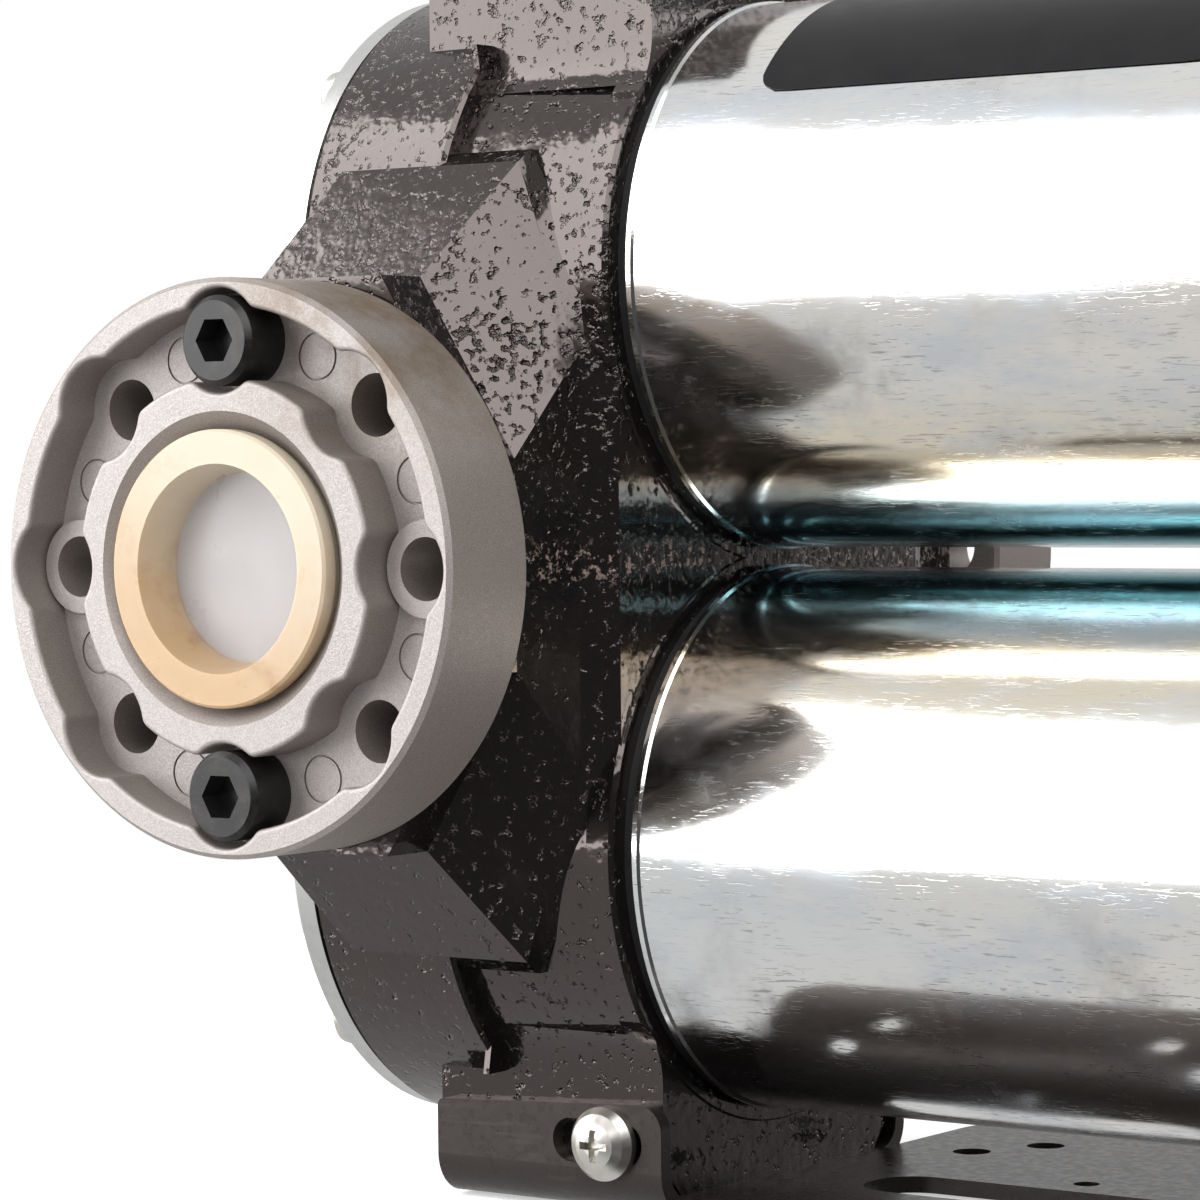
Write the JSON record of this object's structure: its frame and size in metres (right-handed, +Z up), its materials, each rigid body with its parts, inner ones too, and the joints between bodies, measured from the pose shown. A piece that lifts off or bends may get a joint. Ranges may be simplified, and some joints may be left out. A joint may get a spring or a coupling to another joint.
{
  "type": "diesel transfer pump",
  "caption": "Electric diesel transfer pump: side-by-side motors on one cast body, flanged inlet and outlet ports with shipping plugs, folded sheet foot.",
  "frame": {"origin": "centre of the foot's hole patterns, on the underside of the foot", "axes": "+X along the motors towards their rear, -Y towards the inlet, +Z up"},
  "size_m": [0.2295, 0.1658, 0.1905],
  "materials": {
    "black_casting": "gloss black paint over a rough sand-cast skin",
    "flange_alloy": "matte die-cast skin with a faint oil tint",
    "cap_nylon": "cream moulded nylon",
    "black_sheet": "satin black paint on folded steel sheet",
    "zinc_screws": "bright zinc plate",
    "steel_screws": "black oxide, slightly oily",
    "zinc_tube": "bright zinc plate with fine scratches",
    "black_bell": "satin black paint",
    "cover_alloy": "machined face",
    "black_rubber": "moulded rubber",
    "vane_plastic": "filled acetal",
    "rotor_steel": "sintered steel",
    "bearing_steel": "ground steel",
    "core_steel": "stacked sheet steel",
    "copper": "enamelled copper",
    "magnet_ferrite": "sintered ferrite",
    "plate_plastic": "phenolic moulding",
    "carbon": "pressed carbon",
    "strainer_sheet": "perforated stainless sheet",
    "valve_steel": "turned steel"
  },
  "bodies": {
    "housing": {"bypass_retainer": "valve_steel", "bypass_spring": "valve_steel", "cover_screws": "zinc_screws", "flange_screws": "steel_screws", "foot_bracket": "black_sheet", "foot_screws": "zinc_screws", "inlet_flange": "flange_alloy", "inlet_flange_seal": "black_rubber", "inlet_strainer": "strainer_sheet", "lead_grommets": "black_rubber", "lower_brush_plate": "plate_plastic", "lower_brushes": "carbon", "lower_cover": "cover_alloy", "lower_cover_seal": "black_rubber", "lower_end_bell": "black_bell", "lower_front_bearing": "bearing_steel", "lower_magnets": "magnet_ferrite", "lower_motor_tube": "zinc_tube", "lower_rear_bearing": "bearing_steel", "lower_shaft_seal": "black_rubber", "lower_tube_gasket": "black_rubber", "outlet_flange": "flange_alloy", "outlet_flange_seal": "black_rubber", "pump_body": "black_casting", "tie_bolts": "zinc_screws", "upper_brush_plate": "plate_plastic", "upper_brushes": "carbon", "upper_cover": "cover_alloy", "upper_cover_seal": "black_rubber", "upper_end_bell": "black_bell", "upper_front_bearing": "bearing_steel", "upper_magnets": "magnet_ferrite", "upper_motor_tube": "zinc_tube", "upper_rear_bearing": "bearing_steel", "upper_shaft_seal": "black_rubber", "upper_tube_gasket": "black_rubber"},
    "upper_armature": {"upper_shaft": "bearing_steel", "upper_rotor": "rotor_steel", "upper_armature_core": "core_steel", "upper_winding": "copper", "upper_commutator": "copper"},
    "upper_vane_1_body": {"upper_vane_1": "vane_plastic"},
    "upper_vane_2_body": {"upper_vane_2": "vane_plastic"},
    "upper_vane_3_body": {"upper_vane_3": "vane_plastic"},
    "upper_vane_4_body": {"upper_vane_4": "vane_plastic"},
    "upper_vane_5_body": {"upper_vane_5": "vane_plastic"},
    "lower_armature": {"lower_shaft": "bearing_steel", "lower_rotor": "rotor_steel", "lower_armature_core": "core_steel", "lower_winding": "copper", "lower_commutator": "copper"},
    "lower_vane_1_body": {"lower_vane_1": "vane_plastic"},
    "lower_vane_2_body": {"lower_vane_2": "vane_plastic"},
    "lower_vane_3_body": {"lower_vane_3": "vane_plastic"},
    "lower_vane_4_body": {"lower_vane_4": "vane_plastic"},
    "lower_vane_5_body": {"lower_vane_5": "vane_plastic"},
    "poppet": {"bypass_poppet": "valve_steel"},
    "inlet_cap": {"inlet_plug": "cap_nylon"},
    "outlet_cap": {"outlet_plug": "cap_nylon"}
  },
  "joints": [
    {"name": "upper_motor_spin", "type": "hinge", "parent": "housing", "child": "upper_armature", "pos_m": [-0.0855, 0, 0.139], "axis": [1, 0, 0], "continuous": true},
    {"name": "upper_vane_1_slide", "type": "slide", "parent": "upper_armature", "child": "upper_vane_1_body", "axis": [0, 0, 1], "range_m": [0, 0.00025]},
    {"name": "upper_vane_2_slide", "type": "slide", "parent": "upper_armature", "child": "upper_vane_2_body", "axis": [0, -0.9511, 0.309], "range_m": [0, 0.00025]},
    {"name": "upper_vane_3_slide", "type": "slide", "parent": "upper_armature", "child": "upper_vane_3_body", "axis": [0, -0.5878, -0.809], "range_m": [0, 0.00025]},
    {"name": "upper_vane_4_slide", "type": "slide", "parent": "upper_armature", "child": "upper_vane_4_body", "axis": [0, 0.5878, -0.809], "range_m": [0, 0.00025]},
    {"name": "upper_vane_5_slide", "type": "slide", "parent": "upper_armature", "child": "upper_vane_5_body", "axis": [0, 0.9511, 0.309], "range_m": [0, 0.00025]},
    {"name": "lower_motor_spin", "type": "hinge", "parent": "housing", "child": "lower_armature", "pos_m": [-0.0855, 0, 0.054], "axis": [1, 0, 0], "continuous": true},
    {"name": "lower_vane_1_slide", "type": "slide", "parent": "lower_armature", "child": "lower_vane_1_body", "axis": [0, 0, -1], "range_m": [0, 0.00025]},
    {"name": "lower_vane_2_slide", "type": "slide", "parent": "lower_armature", "child": "lower_vane_2_body", "axis": [0, 0.9511, -0.309], "range_m": [0, 0.00025]},
    {"name": "lower_vane_3_slide", "type": "slide", "parent": "lower_armature", "child": "lower_vane_3_body", "axis": [0, 0.5878, 0.809], "range_m": [0, 0.00025]},
    {"name": "lower_vane_4_slide", "type": "slide", "parent": "lower_armature", "child": "lower_vane_4_body", "axis": [0, -0.5878, 0.809], "range_m": [0, 0.00025]},
    {"name": "lower_vane_5_slide", "type": "slide", "parent": "lower_armature", "child": "lower_vane_5_body", "axis": [0, -0.9511, -0.309], "range_m": [0, 0.00025]},
    {"name": "bypass_lift", "type": "slide", "parent": "housing", "child": "poppet", "axis": [0, -1, 0], "range_m": [0, 0.005], "deforming": ["bypass_spring"]},
    {"name": "inlet_plug_pull", "type": "slide", "parent": "housing", "child": "inlet_cap", "axis": [0, -1, 0], "range_m": [0, 0.05]},
    {"name": "outlet_plug_pull", "type": "slide", "parent": "housing", "child": "outlet_cap", "axis": [0, 1, 0], "range_m": [0, 0.05]}
  ]
}
